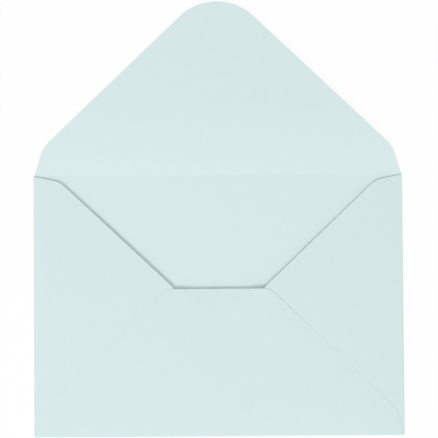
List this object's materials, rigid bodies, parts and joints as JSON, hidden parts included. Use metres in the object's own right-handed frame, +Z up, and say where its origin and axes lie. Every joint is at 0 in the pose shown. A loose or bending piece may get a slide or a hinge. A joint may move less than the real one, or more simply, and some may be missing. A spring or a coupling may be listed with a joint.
{
  "type": "paper envelope",
  "caption": "Empty paper envelope lying on its front panel, folded from one sheet, with glued side and bottom flaps and an open rounded triangular top flap.",
  "frame": {"origin": "middle of the front panel's outer face, which the envelope lies on", "axes": "+X along the envelope's long side, +Y across it towards the open top flap, +Z up, away from the front panel"},
  "size_m": [0.162, 0.191, 0.0015],
  "materials": {
    "paper": "matte uncoated paper, dyed pale blue green all through"
  },
  "bodies": {
    "root": {"envelope": "paper"}
  },
  "joints": []
}
